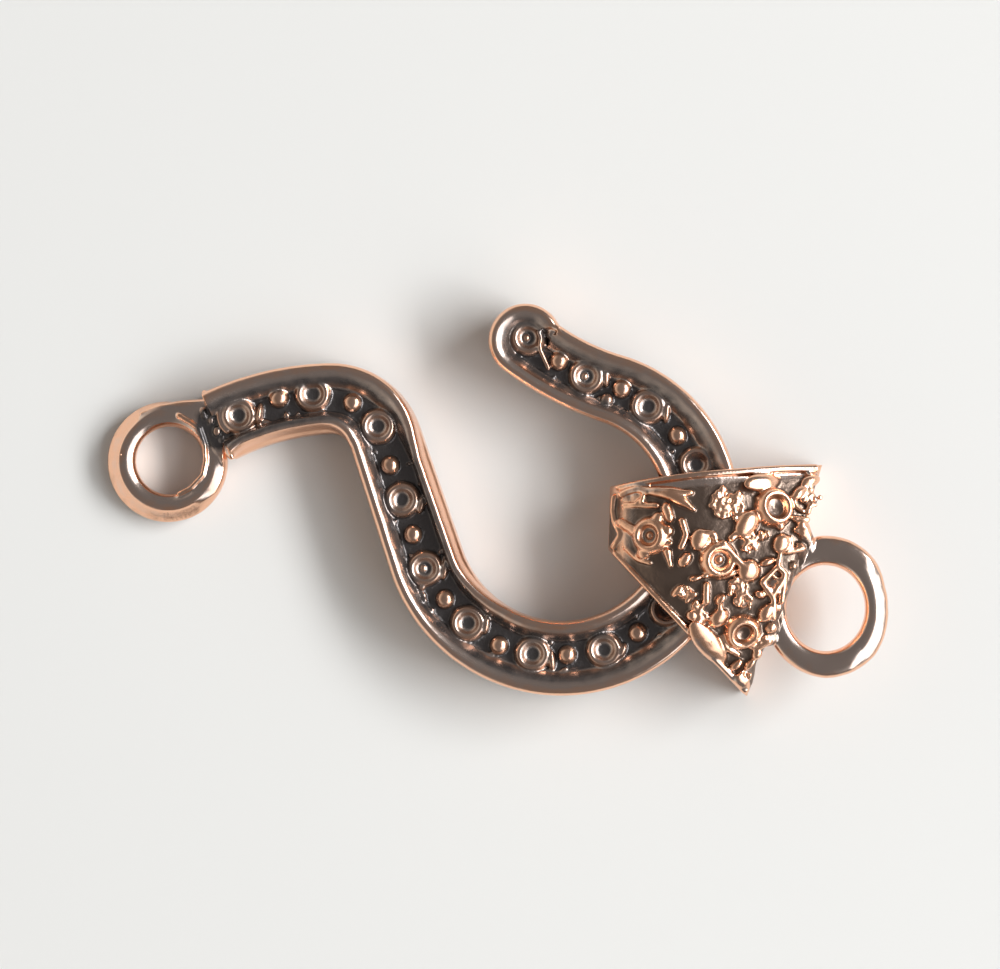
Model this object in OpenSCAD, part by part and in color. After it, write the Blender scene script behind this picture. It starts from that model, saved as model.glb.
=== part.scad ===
// Hook and eye clasp of cast copper-coloured metal, lying fastened on its flat back.
// The hook is an S of channelled band with a ring at its end; the eye is a wrapped shield with a ring.

/* [Hook] */
// Thickness of the band from its back to its rims
band_t = 2.2; // [1.8:0.1:2.4]
// Depth of the channel below the rims
channel_depth = 0.75; // [0.5:0.05:1]
// Radius of the round tip
tip_r = 1.85; // [1.7:0.05:2]
// How far the hook leans up from its end ring to the eye, in degrees
hook_lean = 2.2; // [2:0.05:2.4]

/* [End ring] */
// Radius of the hole in the hook's end ring
end_bore_r = 1.72; // [1.4:0.02:1.9]
// Radius of the wire of both rings
wire_r = 0.65; // [0.5:0.05:0.8]

/* [Eye] */
// Length of the shield from its nose to its square end
eye_l = 9.6; // [9.3:0.1:10]
// Half width of the shield at its nose
nose_half_w = 1.45; // [1.2:0.05:1.8]
// Half width of the shield at its square end
end_half_w = 5.9; // [5.4:0.1:6.4]
// Height of the shield's ridge above the back
ridge_z = 5.2; // [5:0.1:5.6]
// Width of the smooth rim along each side
eye_rim = 0.5; // [0.3:0.05:0.7]
// Depth of the ground below the rims
ground_depth = 0.35; // [0.2:0.05:0.4]

/* [Eye ring] */
// Radius of the hole in the eye's ring
eye_bore_r = 1.95; // [1.85:0.05:2.1]
// Height of the middle of the eye's ring above the back
ring_z = 2.8; // [2.4:0.1:3.2]

/* [Relief] */
// Distance between one raised ring or bead and the next along the band
pitch = 1.846; // [1.8:0.001:1.9]
// Radius of the crest of a raised ring
ring_r = 0.62; // [0.5:0.01:0.7]
// Radius of a bead
bead_r = 0.45; // [0.3:0.01:0.5]

/* [Hidden] */
$fn = 40;
copper = "#b87352";

// Where the band starts: x, y, heading in degrees and width
start = [-13.95, 3.6, 26, 3.7];
// The S as a chain of arcs: radius (minus turns right, 0 is straight), degrees or length, width at the end
chain = [
    [-14, 23.5, 3.55],
    [-2.9, 74, 3.6],
    [0, 6.5, 3.75],
    [7.1, 183, 3.7],
    [6.4, 51, 3.5],
    [-12.5, 23, 3.3]
];
// Section of the band: distance in from the outline and height, from the back to the channel's floor
band_section = [
    [0.35, 0],
    [0, 0.65],
    [0.14, band_t - 0.25],
    [0.32, band_t],
    [0.46, band_t],
    [0.8, band_t - channel_depth]
];
floor_z = band_t - channel_depth;
step_angle = 8;
// The outline leaves the band's sides at these angles from its heading to go round the tip
tip_arc = [-125, 90];
tip_steps = 13;
// Sharpest corner that an inset outline keeps its full mitre at
mitre_limit = 0.35;
// Distance of the first raised ring from the start of the band, and how many rings and beads follow
first_relief = 1.2;
relief_count = 27;

// How far a ring's wire is cut back at its hole, which gives the hole a short straight wall
bore_land = 0.07;
end_ring_at = [-16.45, 1.9];
end_ring_r = end_bore_r + wire_r - bore_land;
eye_ring_r = eye_bore_r + wire_r - bore_land;
// The strap between the end ring and the band: heights, and its corners as seen from each
strap_z = [0.15, 1.15];
strap_on_ring = [[102, 0.45], [112, 0], [-10, 0]];
strap_at_corner = [[0.1, -0.25], [1, -0.3]];
strap_at_foot = [[0.8, 0.5], [-0.1, 0.2]];

// The eye's own frame: its nose, and the turn of its middle line
eye_at = [5.6, -1.08];
eye_turn = -20;
// Radius of the fold at the nose, where it ends, and how steeply the front climbs from it
nose_r = 1.9;
nose_arc_end = 126;
nose_slope = 35;
shoulder = [2.2, 4.45];
ridge_s = 4.2;
end_z = 4.2;
end_corner = [0.25, 0.3];
dome_r = 10;
// The opening through the loop: from and to, its floor and ceiling, and the corner by the nose
opening = [1.25, 7.2];
back_t = 0.8;
ceiling_z = 3.6;
opening_corner = [0.45, 0.6];
opening_wall_z = 2.4;
// The relief is sunk into the front only above this height
relief_low_z = 2.4;
// The eye's ring sits a little off the middle line, clear of the square end
ring_at = [eye_l + 2.15, -0.4];

// Cutters reach this far past what they cut
past = 1;
far = 20;

// Section of a raised ring: distance from its crest's radius and height above the ground
ring_section = [[-0.2, -0.1], [0.22, -0.1], [0.2, 0.12], [0.08, 0.42], [-0.08, 0.42], [-0.2, 0.2]];
grain_r = 0.2;
grain_reach = 0.4;
// Relief of the eye: how far along its middle line from the nose and how far aside
eye_rings = [[2.3, 0], [5.85, 0], [7.8, 3.3], [7.8, -3.3]];
eye_beads = [[4.5, 0.75], [4.3, -0.6], [7.45, 0.1], [8.75, 1.75], [8.75, -1.75], [6.8, -2.55]];
eye_grains = [[5.25, 2.5], [5, -2], [6.8, 1.4], [7.2, -1.1]];

// One pose is x, y, heading and width
function arc_centre(p, r) = [p[0] - r * sin(p[2]), p[1] + r * cos(p[2])];
function pose_along(p, row, t) =
    let (
        r = row[0],
        w = p[3] + t * (row[2] - p[3]),
        h = p[2] + sign(r) * t * row[1],
        c = arc_centre(p, r)
    )
    r == 0
        ? [p[0] + t * row[1] * cos(p[2]), p[1] + t * row[1] * sin(p[2]), p[2], w]
        : [c[0] + r * sin(h), c[1] - r * cos(h), h, w];
function row_length(row) = row[0] == 0 ? row[1] : abs(row[0]) * row[1] * PI / 180;
function row_poses(p, row) =
    let (n = row[0] == 0 ? 3 : ceil(row[1] / step_angle))
    [for (k = [0 : n - 1]) pose_along(p, row, k / n)];
function poses(p, i = 0) = i == len(chain)
    ? [p]
    : concat(row_poses(p, chain[i]), poses(pose_along(p, chain[i], 1), i + 1));
function pose_at(s, p = start, i = 0) =
    let (l = row_length(chain[i]))
    s <= l || i == len(chain) - 1
        ? pose_along(p, chain[i], min(s / l, 1))
        : pose_at(s - l, pose_along(p, chain[i], 1), i + 1);
function beside(p, side) = [p[0] - side * p[3] / 2 * sin(p[2]), p[1] + side * p[3] / 2 * cos(p[2])];
function turned(p) = [
    p[0] * cos(eye_turn) - p[1] * sin(eye_turn),
    p[0] * sin(eye_turn) + p[1] * cos(eye_turn)
];

band = poses(start);
tip = band[len(band) - 1];

// Both pieces move so that the clasp's box stands over the origin
left = end_ring_at[0] - end_ring_r - wire_r;
right = eye_at[0] + turned(ring_at)[0] + eye_ring_r + wire_r;
high = tip[1] + tip_r;
low = eye_at[1] + turned([eye_l, -end_half_w])[1];
centre = -[(left + right) / 2, (high + low) / 2, 0];

// Outline of the band: out along its right side, round the tip, and back along its left side
function band_outline() =
    let (n = len(band) - 1)
    concat(
        [for (i = [0 : n - 1]) beside(band[i], -1)],
        [for (k = [0 : tip_steps])
            let (a = tip[2] + tip_arc[0] + k * (tip_arc[1] - tip_arc[0]) / tip_steps)
            [tip[0] + tip_r * cos(a), tip[1] + tip_r * sin(a)]],
        [for (i = [1 : n]) beside(band[n - i], 1)]
    );
// Outline moved in by d, with each corner mitred
function inset(line, d) = [for (i = [0 : len(line) - 1])
    let (
        n = len(line),
        a = unit(line[i] - line[(i + n - 1) % n]),
        b = unit(line[(i + 1) % n] - line[i]),
        m = [-a[1] - b[1], a[0] + b[0]]
    )
    line[i] + d * m / max(mitre_limit, 1 + a * b)];
function unit(v) = v / norm(v);

// Solid whose rings are one outline at several insets and heights, closed flat at both ends
module ringed_solid(line, section) {
    n = len(line);
    rings = len(section);
    points = [for (row = section) for (p = inset(line, row[0])) [p[0], p[1], row[1]]];
    walls = [for (j = [0 : rings - 2]) for (i = [0 : n - 1]) for (half = [0, 1])
        half == 0
            ? [j * n + i, (j + 1) * n + i, (j + 1) * n + (i + 1) % n]
            : [j * n + i, (j + 1) * n + (i + 1) % n, j * n + (i + 1) % n]];
    top = (rings - 1) * n;
    caps = [for (i = [0 : n / 2 - 2]) for (back = [true, false])
        back
            ? [i, i + 1, n - 2 - i, n - 1 - i]
            : [top + n - 1 - i, top + n - 2 - i, top + i + 1, top + i]];
    polyhedron(points, concat(walls, caps));
}

// Ring of round wire with a short straight wall in its hole
module wire_ring(r, bore_r) {
    difference() {
        rotate_extrude($fn = 64)
            translate([r, 0])
                circle(r = wire_r, $fn = 24);
        cylinder(r = bore_r, h = 2 * (wire_r + past), center = true, $fn = 64);
    }
}

// Raised ring with a low foot round it, standing on the ground
module raised_ring() {
    rotate_extrude()
        translate([ring_r, 0])
            polygon(ring_section);
}

module bead(r) {
    sphere(r = r, $fn = 24);
}

// Low patch of grains
module grains() {
    bead(grain_r + 0.04);
    for (a = [0 : 60 : 300])
        rotate(a)
            translate([grain_reach, 0, 0])
                bead(grain_r);
}

// The hook leans about its end ring's far side, where it rests on the table
module lean() {
    rest_x = end_ring_at[0] - end_ring_r;
    translate([rest_x, 0, wire_r])
        rotate([0, -hook_lean, 0])
            translate([-rest_x, 0, -wire_r])
                children();
}

// Strap from the end ring up to the band's corner
module end_strap() {
    corner = beside(start, 1);
    foot = beside(start, -1);
    function on_ring(p) = end_ring_at + (end_ring_r + p[1]) * [cos(p[0]), sin(p[0])];
    translate([0, 0, strap_z[0]])
        linear_extrude(height = strap_z[1] - strap_z[0])
            difference() {
                polygon([
                    on_ring(strap_on_ring[1]),
                    on_ring(strap_on_ring[0]),
                    corner + strap_at_corner[0],
                    corner + strap_at_corner[1],
                    foot + strap_at_foot[0],
                    foot + strap_at_foot[1],
                    on_ring(strap_on_ring[2])
                ]);
                translate(end_ring_at)
                    circle(r = end_ring_r, $fn = 64);
            }
}

module hook() {
    color(copper)
        translate(centre)
            lean() {
                ringed_solid(band_outline(), band_section);
                translate([end_ring_at[0], end_ring_at[1], wire_r])
                    wire_ring(end_ring_r, end_bore_r);
                end_strap();
                for (k = [0 : relief_count - 1]) {
                    p = pose_at(first_relief + k * pitch);
                    translate([p[0], p[1], floor_z])
                        if (k % 2 == 0)
                            raised_ring();
                        else
                            bead(bead_r);
                }
            }
}

// Side view of the shield, from the back round the nose and over the ridge
function shield_profile() = concat(
    [for (a = [270 : -9 : nose_arc_end]) nose_r * [1 + cos(a), 1 + sin(a)]],
    [
        shoulder,
        [ridge_s, ridge_z],
        [eye_l - end_corner[0], end_z],
        [eye_l, end_z - end_corner[1]],
        [eye_l, end_corner[0]],
        [eye_l - end_corner[0], 0]
    ]
);

// Height of the front along the middle line, and its slope there in degrees
function front_z(s) = s < shoulder[0]
    ? shoulder[1] - (shoulder[0] - s) * tan(nose_slope)
    : s < ridge_s
        ? shoulder[1] + (s - shoulder[0]) * (ridge_z - shoulder[1]) / (ridge_s - shoulder[0])
        : ridge_z - (s - ridge_s) * (ridge_z - end_z) / (eye_l - end_corner[0] - ridge_s);
function front_slope(s) = atan((front_z(s + 0.01) - front_z(s - 0.01)) / 0.02);

// Prism across the eye from a side view in s and z
module across(profile) {
    rotate([90, 0, 0])
        linear_extrude(height = far, center = true)
            polygon(profile);
}

// Shield before its sides are cut, lowered by d
module dome(d) {
    intersection() {
        translate([0, 0, -d])
            across(shield_profile());
        translate([0, 0, ridge_z + 0.1 - dome_r - d])
            rotate([0, 90, 0])
                cylinder(r = dome_r, h = 2 * far, center = true, $fn = 96);
    }
}

// Plan of the shield, moved in by d at its sides
module plan(d) {
    slope = (end_half_w - nose_half_w) / eye_l;
    half = nose_half_w - d * sqrt(1 + slope * slope);
    end = eye_l + past - d;
    translate([0, 0, -past])
        linear_extrude(height = ridge_z + 3 * past)
            polygon([
                [-past, -half + slope * past],
                [end, -half - slope * end],
                [end, half + slope * end],
                [-past, half - slope * past]
            ]);
}

module on_front(p) {
    translate([p[0], p[1], front_z(p[0]) - ground_depth])
        rotate([0, -front_slope(p[0]), 0])
            children();
}

// What is cut away over the front to leave the ground sunk between the rims
module above_ground() {
    difference() {
        plan(eye_rim);
        dome(ground_depth);
        translate([eye_l - eye_rim, -far / 2, -past])
            cube([far, far, far]);
        translate([-far / 2, -far / 2, relief_low_z - far])
            cube([2 * far, far, far]);
    }
}

module eye() {
    color(copper)
        translate(centre + [eye_at[0], eye_at[1], 0])
            rotate(eye_turn) {
                difference() {
                    intersection() {
                        plan(0);
                        dome(0);
                    }
                    above_ground();
                    across([
                        [opening[0] + opening_corner[0], back_t],
                        [opening[0], back_t + opening_corner[1]],
                        [opening[0], opening_wall_z],
                        [shoulder[0], ceiling_z],
                        [opening[1], ceiling_z],
                        [opening[1], back_t]
                    ]);
                }
                translate([ring_at[0], ring_at[1], ring_z])
                    wire_ring(eye_ring_r, eye_bore_r);
                for (p = eye_rings)
                    on_front(p)
                        raised_ring();
                for (p = eye_beads)
                    on_front(p)
                        bead(bead_r);
                for (p = eye_grains)
                    on_front(p)
                        grains();
            }
}

hook();
eye();
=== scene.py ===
import math

import bpy
import numpy as np
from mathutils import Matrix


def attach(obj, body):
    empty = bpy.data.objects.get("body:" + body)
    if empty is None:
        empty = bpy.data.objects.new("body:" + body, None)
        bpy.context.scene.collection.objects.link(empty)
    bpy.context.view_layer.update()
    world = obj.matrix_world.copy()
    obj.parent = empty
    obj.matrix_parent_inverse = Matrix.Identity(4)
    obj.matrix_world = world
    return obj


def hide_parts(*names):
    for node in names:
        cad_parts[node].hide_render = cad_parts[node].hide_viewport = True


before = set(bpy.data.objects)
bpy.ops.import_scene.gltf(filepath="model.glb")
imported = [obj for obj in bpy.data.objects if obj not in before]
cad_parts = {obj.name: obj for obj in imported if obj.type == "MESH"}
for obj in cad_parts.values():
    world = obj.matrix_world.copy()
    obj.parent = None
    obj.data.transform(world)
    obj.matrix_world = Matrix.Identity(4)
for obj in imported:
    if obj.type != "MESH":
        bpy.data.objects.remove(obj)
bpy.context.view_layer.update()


# The hook: one casting in copper-coloured metal, an S of channelled band with a raised rim all
# round it and a row of small rings and beads along its floor. The wax is built up of strip, wire
# and shot, and the metal takes its shape in one piece.

MM = 0.001
# from the middle of the photograph to the middle of the clasp's box
TO_BOX_MIDDLE = np.array([-0.142, 0.083, 0.0])
# heights of the channel's floor and of the rims above the back, and the radius of the round tip
FLOOR_Z = 1.45
RIM_Z = 2.2
TIP_R = 1.85
# where the band starts: x, y, heading in degrees and width
BAND_START = (-13.95, 3.6, 26.0, 3.7)
# its arcs: radius (minus turns right, 0 is straight), degrees or length, width at the end
BAND_ARCS = [
    (-14.0, 23.5, 3.55),
    (-2.9, 74.0, 3.6),
    (0.0, 6.5, 3.75),
    (7.1, 183.0, 3.7),
    (6.4, 51.0, 3.5),
    (-12.5, 23.0, 3.3),
]


def walk_band(step):
    """Stations every step along the band: distance, x, y, heading in radians, half width."""
    x, y, heading, width = BAND_START
    heading = math.radians(heading)
    gone = 0.0
    rows = []
    for radius, amount, end_width in BAND_ARCS:
        length = amount if radius == 0 else abs(radius) * math.radians(amount)
        count = max(1, round(length / step))
        turn = 0.0 if radius == 0 else length / count / radius
        for k in range(count):
            wide = width + (end_width - width) * k / count
            rows.append((gone + length * k / count, x, y, heading, wide / 2))
            x += length / count * math.cos(heading + turn / 2)
            y += length / count * math.sin(heading + turn / 2)
            heading += turn
        gone += length
        width = end_width
    rows.append((gone, x, y, heading, width / 2))
    return np.array(rows)


stations = walk_band(0.12)
tip_x, tip_y, tip_heading = stations[-1, 1:4]


def on_band(along, aside=0.0):
    """Point of the band's middle line, moved aside to the left, and the heading there."""
    x, y, heading = (np.interp(along, stations[:, 0], stations[:, i]) for i in (1, 2, 3))
    return x - aside * math.sin(heading), y + aside * math.cos(heading), heading


class Wax:
    """A lump of wax: closed shells that overlap and are cast together."""

    def __init__(self):
        self.points, self.faces = [], []
        self.count = 0

    def shell(self, points, faces):
        self.points.append(np.asarray(points, float))
        self.faces.extend([tuple(i + self.count for i in face) for face in faces])
        self.count += len(points)

    def loft(self, rings):
        """Closed shell through rings of equal count, closed with a fan at each end."""
        rings = np.asarray(rings, float)
        n, m = rings.shape[:2]
        points = np.vstack([rings.reshape(-1, 3), rings[0].mean(0), rings[-1].mean(0)])
        faces = [
            (j * m + i, j * m + (i + 1) % m, (j + 1) * m + (i + 1) % m, (j + 1) * m + i)
            for j in range(n - 1) for i in range(m)
        ]
        faces += [(n * m, (i + 1) % m, i) for i in range(m)]
        faces += [(n * m + 1, (n - 1) * m + i, (n - 1) * m + (i + 1) % m) for i in range(m)]
        self.shell(points, faces)

    def lathe(self, profile, place, turns=48):
        """Shell of revolution: radius and height pairs round the place's own z."""
        rings = []
        for radius, height in profile:
            a = np.linspace(0, 2 * np.pi, turns, endpoint=False)
            ring = np.c_[radius * np.cos(a), radius * np.sin(a), np.full(turns, height)]
            rings.append(place(ring))
        self.loft(rings)

    def shot(self, radii, place, turn=0.0):
        """A bead of shot with three radii, turned in its own plane."""
        v = np.linspace(-np.pi / 2, np.pi / 2, 13)[1:-1]
        a = np.linspace(0, 2 * np.pi, 24, endpoint=False)
        rings = []
        for angle in v:
            x = radii[0] * np.cos(angle) * np.cos(a)
            y = radii[1] * np.cos(angle) * np.sin(a)
            ring = np.c_[
                x * math.cos(turn) - y * math.sin(turn),
                x * math.sin(turn) + y * math.cos(turn),
                np.full(24, radii[2] * math.sin(angle)),
            ]
            rings.append(place(ring))
        self.loft(rings)

    def wire(self, line, radius, sides=12):
        """Round wire along a line of points, its radius one number or one for each point."""
        line = np.asarray(line, float)
        radius = np.broadcast_to(radius, len(line)).astype(float)
        ahead = np.gradient(line, axis=0)
        first = line[0] - ahead[0] / np.linalg.norm(ahead[0]) * radius[0] * 0.7
        last = line[-1] + ahead[-1] / np.linalg.norm(ahead[-1]) * radius[-1] * 0.7
        line = np.vstack([first, line, last])
        ahead = np.vstack([ahead[0], ahead, ahead[-1]])
        radius = np.r_[radius[0] * 0.45, radius, radius[-1] * 0.45]
        ahead /= np.linalg.norm(ahead, axis=1)[:, None]
        up = np.where(np.abs(ahead[:, 2:3]) > 0.9, [[1.0, 0, 0]], [[0, 0, 1.0]])
        side = np.cross(ahead, up)
        side /= np.linalg.norm(side, axis=1)[:, None]
        up = np.cross(side, ahead)
        a = np.linspace(0, 2 * np.pi, sides, endpoint=False)
        self.loft([
            p + r * (np.outer(np.cos(a), s) + np.outer(np.sin(a), u))
            for p, r, s, u in zip(line, radius, side, up)
        ])

    def ring(self, centre, inner, outer, section, height):
        """Ring whose section, across from its hole and height, changes with the angle round it."""
        rings = []
        for angle in np.linspace(0, 2 * np.pi, 144, endpoint=False):
            near, far = inner(angle), outer(angle)
            profile = section(angle)
            reach = near + profile[:, 0] * (far - near)
            rings.append(np.c_[
                centre[0] + reach * math.cos(angle), centre[1] + reach * math.sin(angle),
                height + profile[:, 1],
            ])
        n, m = len(rings), len(rings[0])
        faces = [
            (j * m + i, j * m + (i + 1) % m, (j + 1) % n * m + (i + 1) % m, (j + 1) % n * m + i)
            for j in range(n) for i in range(m)
        ]
        self.shell(np.vstack(rings), faces)


def flat_place(x, y, z):
    """Placer for a form that stands upright at a point."""
    return lambda ring: ring + np.array([x, y, z])


hook_wax = Wax()

# edges of the band: the left one flares to run smoothly into the round tip
flare = 0.2 * np.clip((stations[:, 0] - 44.5) / 4.9, 0, 1) ** 2
left_of = np.c_[-np.sin(stations[:, 3]), np.cos(stations[:, 3])]
left_edge = stations[:, 1:3] + left_of * (stations[:, 4] + flare)[:, None]
right_edge = stations[:, 1:3] - left_of * stations[:, 4][:, None]

# slab of the band: back, outer walls and channel floor, as distance in from either edge and height
SLAB_SIDE = [(0.42, 0.0), (0.16, 0.07), (0.02, 0.3), (0.0, 0.6), (0.05, 1.2), (0.3, 1.5)]
SLAB_TOP = FLOOR_Z - 0.04
last_full = np.searchsorted(stations[:, 0], stations[-1, 0] - 0.9)
rings = []
for k in range(last_full):
    to_left = (left_edge[k] - right_edge[k]) / np.linalg.norm(left_edge[k] - right_edge[k])
    ring = [[*(left_edge[k] - to_left * inset), z] for inset, z in SLAB_SIDE]
    middle = (left_edge[k] + right_edge[k]) / 2
    ring += [[*(middle + to_left * u), SLAB_TOP] for u in (0.9, 0.3, -0.3, -0.9)]
    ring += [[*(right_edge[k] + to_left * inset), z] for inset, z in SLAB_SIDE[::-1]]
    ring += [[*(middle + to_left * u), 0.0] for u in (-0.8, 0.0, 0.8)]
    rings.append(ring)
hook_wax.loft(rings)

# slab of the round tip
TIP_PROFILE = [
    (0.1, 0.0), (1.43, 0.0), (1.69, 0.07), (1.83, 0.3), (1.85, 0.6), (1.8, 1.2), (1.55, SLAB_TOP),
    (0.1, SLAB_TOP),
]
hook_wax.lathe(TIP_PROFILE, flat_place(tip_x, tip_y, 0.0), turns=72)

# The rim runs out along the right edge, round the tip and back along the left edge: a narrow
# rounded crest whose inner side slopes down into the channel. Its outer wall leans in on the near
# side of the first stretch and on the right side of the long leg.
last_rim = np.searchsorted(stations[:, 0], stations[-1, 0] - 0.82)
TIP_STEPS = 60
arc = tip_heading + np.radians(np.linspace(-116, 90, TIP_STEPS))
round_tip = np.c_[tip_x + TIP_R * np.cos(arc), tip_y + TIP_R * np.sin(arc)]
edge_line = np.vstack([right_edge[:last_rim], round_tip, left_edge[::-1]])
RIM_SECTION = [
    (0.3, 0.5), (0.0, 0.55), (0.0, 1.1), (0.01, 1.6), (0.02, 1.9), (0.07, 2.05), (0.14, 2.14),
    (0.21, 2.19), (0.28, RIM_Z), (0.4, 2.18), (0.55, 2.12), (0.7, 2.04), (0.83, 1.94), (0.96, 1.82),
    (1.09, 1.68), (1.21, 1.55), (1.34, 1.47), (1.42, 1.2), (1.2, 0.5),
]
lean_in = np.concatenate([
    np.interp(stations[:last_rim, 0], (0, 0.8, 5.5, 8.5), (0.2, 0.42, 0.42, 0.0)),
    np.zeros(TIP_STEPS),
    np.interp(stations[::-1, 0], (8, 11, 17, 21), (0.0, 0.34, 0.34, 0.0)),
])
# the channel's sides slope gently where its outer side is wide, and steeply on the long leg
breadth = np.concatenate([
    np.interp(stations[:last_rim, 0], (7, 9, 18, 22), (0.75, 0.62, 0.62, 1.0)),
    np.linspace(1.0, 0.8, TIP_STEPS),
    np.interp(stations[::-1, 0], (8, 11, 19, 23), (1.0, 0.55, 0.6, 0.7)),
])


def rim_strip(line, section, lean_in, breadth):
    """Strip whose section, distance in from the line and height, follows the line on the plan."""
    ahead = np.gradient(line, axis=0)
    ahead /= np.linalg.norm(ahead, axis=1)[:, None]
    inward = np.c_[-ahead[:, 1], ahead[:, 0]]
    inset, z = np.array(section).T
    share = np.clip((z - 0.6) / 1.4, 0, 1) * np.clip((1.42 - inset) / 0.9, 0, 1)
    slope = np.clip(inset - 0.4, 0, None)
    return [
        np.c_[p + n * (inset + extra * share - slope * (1 - wide))[:, None], z]
        for p, n, extra, wide in zip(line, inward, lean_in, breadth)
    ]


hook_wax.loft(rim_strip(edge_line, RIM_SECTION, lean_in, breadth))

# rings and beads in turn along the floor: how far along the band and how far aside
ORNAMENTS = [
    (1.2, 0.08), (3.35, 0.2), (5.02, 0.28), (7.0, 0.0), (8.8, -0.08), (10.85, -0.2),
    (12.68, -0.18), (14.5, -0.22), (16.3, -0.18), (18.1, -0.04), (19.76, 0.02), (21.66, -0.05),
    (23.4, 0.08), (25.16, 0.18), (27.07, 0.1), (28.97, 0.15), (30.9, 0.1), (32.8, 0.05),
    (34.8, 0.0), (36.7, -0.05), (38.6, -0.12), (40.3, 0.03), (42.38, 0.0), (43.94, -0.15),
    (45.81, -0.12), (47.4, -0.15), (49.35, -0.2),
]
RING_PROFILE = [
    (0.05, -0.3), (1.0, -0.3), (0.95, 0.02), (0.9, 0.1), (0.85, 0.23), (0.79, 0.32), (0.71, 0.36),
    (0.63, 0.35), (0.56, 0.3), (0.48, 0.22), (0.4, 0.14), (0.32, 0.08), (0.24, 0.05), (0.05, 0.04),
]
# the first bead stands aside from its place in the row; three of the rings hold a small bead, and
# most of them have a short bar on their right
FIRST_BEAD = (-10.88, 5.02)
chance = np.random.default_rng(7)
for number, (along, aside) in enumerate(ORNAMENTS):
    x, y, heading = on_band(along, aside)
    if number == 1:
        hook_wax.shot((0.5, 0.5, 0.46), flat_place(*FIRST_BEAD, FLOOR_Z + 0.03))
        hook_wax.shot((0.21, 0.58, 0.5), flat_place(-11.85, 4.22, FLOOR_Z), math.radians(-8))
        a = np.radians(np.linspace(110, 235, 16))
        x, y, heading = on_band(*ORNAMENTS[0])
        hook_wax.wire(
            np.c_[x + 0.98 * np.cos(a), y + 0.98 * np.sin(a), np.full(16, FLOOR_Z + 0.12)], 0.15,
        )
    elif number % 2 == 0:
        hook_wax.lathe(RING_PROFILE, flat_place(x, y, FLOOR_Z))
        if number in (8, 24, 26):
            hook_wax.shot((0.17, 0.2, 0.16), flat_place(x - 0.1, y, FLOOR_Z + 0.05))
        if 4 < number < 25:
            bar_x, bar_y = x + chance.uniform(0.88, 1.0), y - chance.uniform(0, 0.3)
            hook_wax.shot(
                (chance.uniform(0.15, 0.22), chance.uniform(0.42, 0.62), 0.3),
                flat_place(bar_x, bar_y, FLOOR_Z + 0.06), math.radians(chance.uniform(-25, 5)),
            )
    else:
        hook_wax.shot((0.47, 0.49, 0.46), flat_place(x, y, FLOOR_Z + 0.03))

# a curl of wire at the tip and a short upright one in its notch, a lump beside the arm's second
# bead, and small blobs and bars that the casting leaves between the ornaments
x, y, heading = on_band(*ORNAMENTS[-1])
curl = np.array([(0.5, 0.3), (0.62, 0.0), (0.56, -0.35), (0.62, -0.7), (0.8, -1.1), (1.0, -1.55)])
rise = np.array([0.36, 0.36, 0.34, 0.28, 0.22, 0.2])
hook_wax.wire(np.c_[x + curl[:, 0], y + curl[:, 1], FLOOR_Z + rise], 0.12)
hook_wax.wire([(2.85, 8.25, 0.4), (2.85, 8.25, 1.2), (2.8, 8.2, 1.8)], 0.3)
for x, y, size in (
    (5.52, 4.92, 0.34), (4.5, 5.02, 0.13), (3.3, 6.8, 0.2), (-3.6, -5.1, 0.17), (-3.7, -4.4, 0.2),
):
    hook_wax.shot((size, size, size * 0.9), flat_place(x, y, FLOOR_Z + 0.1))
for along in np.arange(0.7, 48.6, 0.42):
    hand = chance.choice([-1, 1])
    x, y, heading = on_band(along + chance.uniform(-0.2, 0.2), hand * chance.uniform(0.6, 1.2))
    size = chance.uniform(0.06, 0.15)
    hook_wax.shot(
        (size * chance.uniform(1.0, 2.2), size, size * 0.9), flat_place(x, y, FLOOR_Z + 0.04),
        chance.uniform(0, math.pi),
    )

# The end ring: heavy wire with a broad dull top, bevelled on its outer left and lower side, with a
# raised lip that runs in from the strap round the right side of the hole. It is cast with the hook.

# its middle, and the radii of its hole, its wire and the circle the wire follows
RING_X, RING_Y = -16.45, 1.9
RING_HOLE_R = 1.7
WIRE_R = 0.65
RING_R = 2.3
ROUND_TOP = [
    (0.25, 0.0), (0.75, 0.0), (0.95, 0.12), (1.0, 0.4), (1.0, 0.7), (0.93, 1.0), (0.82, 1.18),
    (0.65, 1.28), (0.5, 1.3), (0.35, 1.28), (0.18, 1.18), (0.07, 1.0), (0.0, 0.75), (0.0, 0.45),
    (0.05, 0.2),
]
BEVELLED = [
    (0.25, 0.0), (0.75, 0.0), (0.95, 0.08), (1.0, 0.25), (1.0, 0.62), (0.81, 0.88), (0.63, 1.13),
    (0.58, 1.23), (0.53, 1.28), (0.33, 1.28), (0.22, 1.22), (0.08, 1.08), (0.0, 0.9), (0.0, 0.45),
    (0.05, 0.2),
]
SLOPED_OUT = [
    (0.25, 0.0), (0.75, 0.0), (0.95, 0.12), (1.0, 0.4), (1.0, 0.7), (0.96, 0.92), (0.88, 1.08),
    (0.7, 1.18), (0.52, 1.28), (0.4, 1.3), (0.2, 1.24), (0.07, 1.05), (0.0, 0.75), (0.0, 0.45),
    (0.05, 0.2),
]


def blended(knots):
    """Section that passes from one profile to the next at the given angles in degrees."""
    angles = [angle for angle, profile in knots]
    profiles = np.array([profile for angle, profile in knots])

    def section(angle):
        turn = math.degrees(angle) % 360
        return np.array([
            [np.interp(turn, angles, profiles[:, i, k]) for k in (0, 1)]
            for i in range(profiles.shape[1])
        ])

    return section


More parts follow.
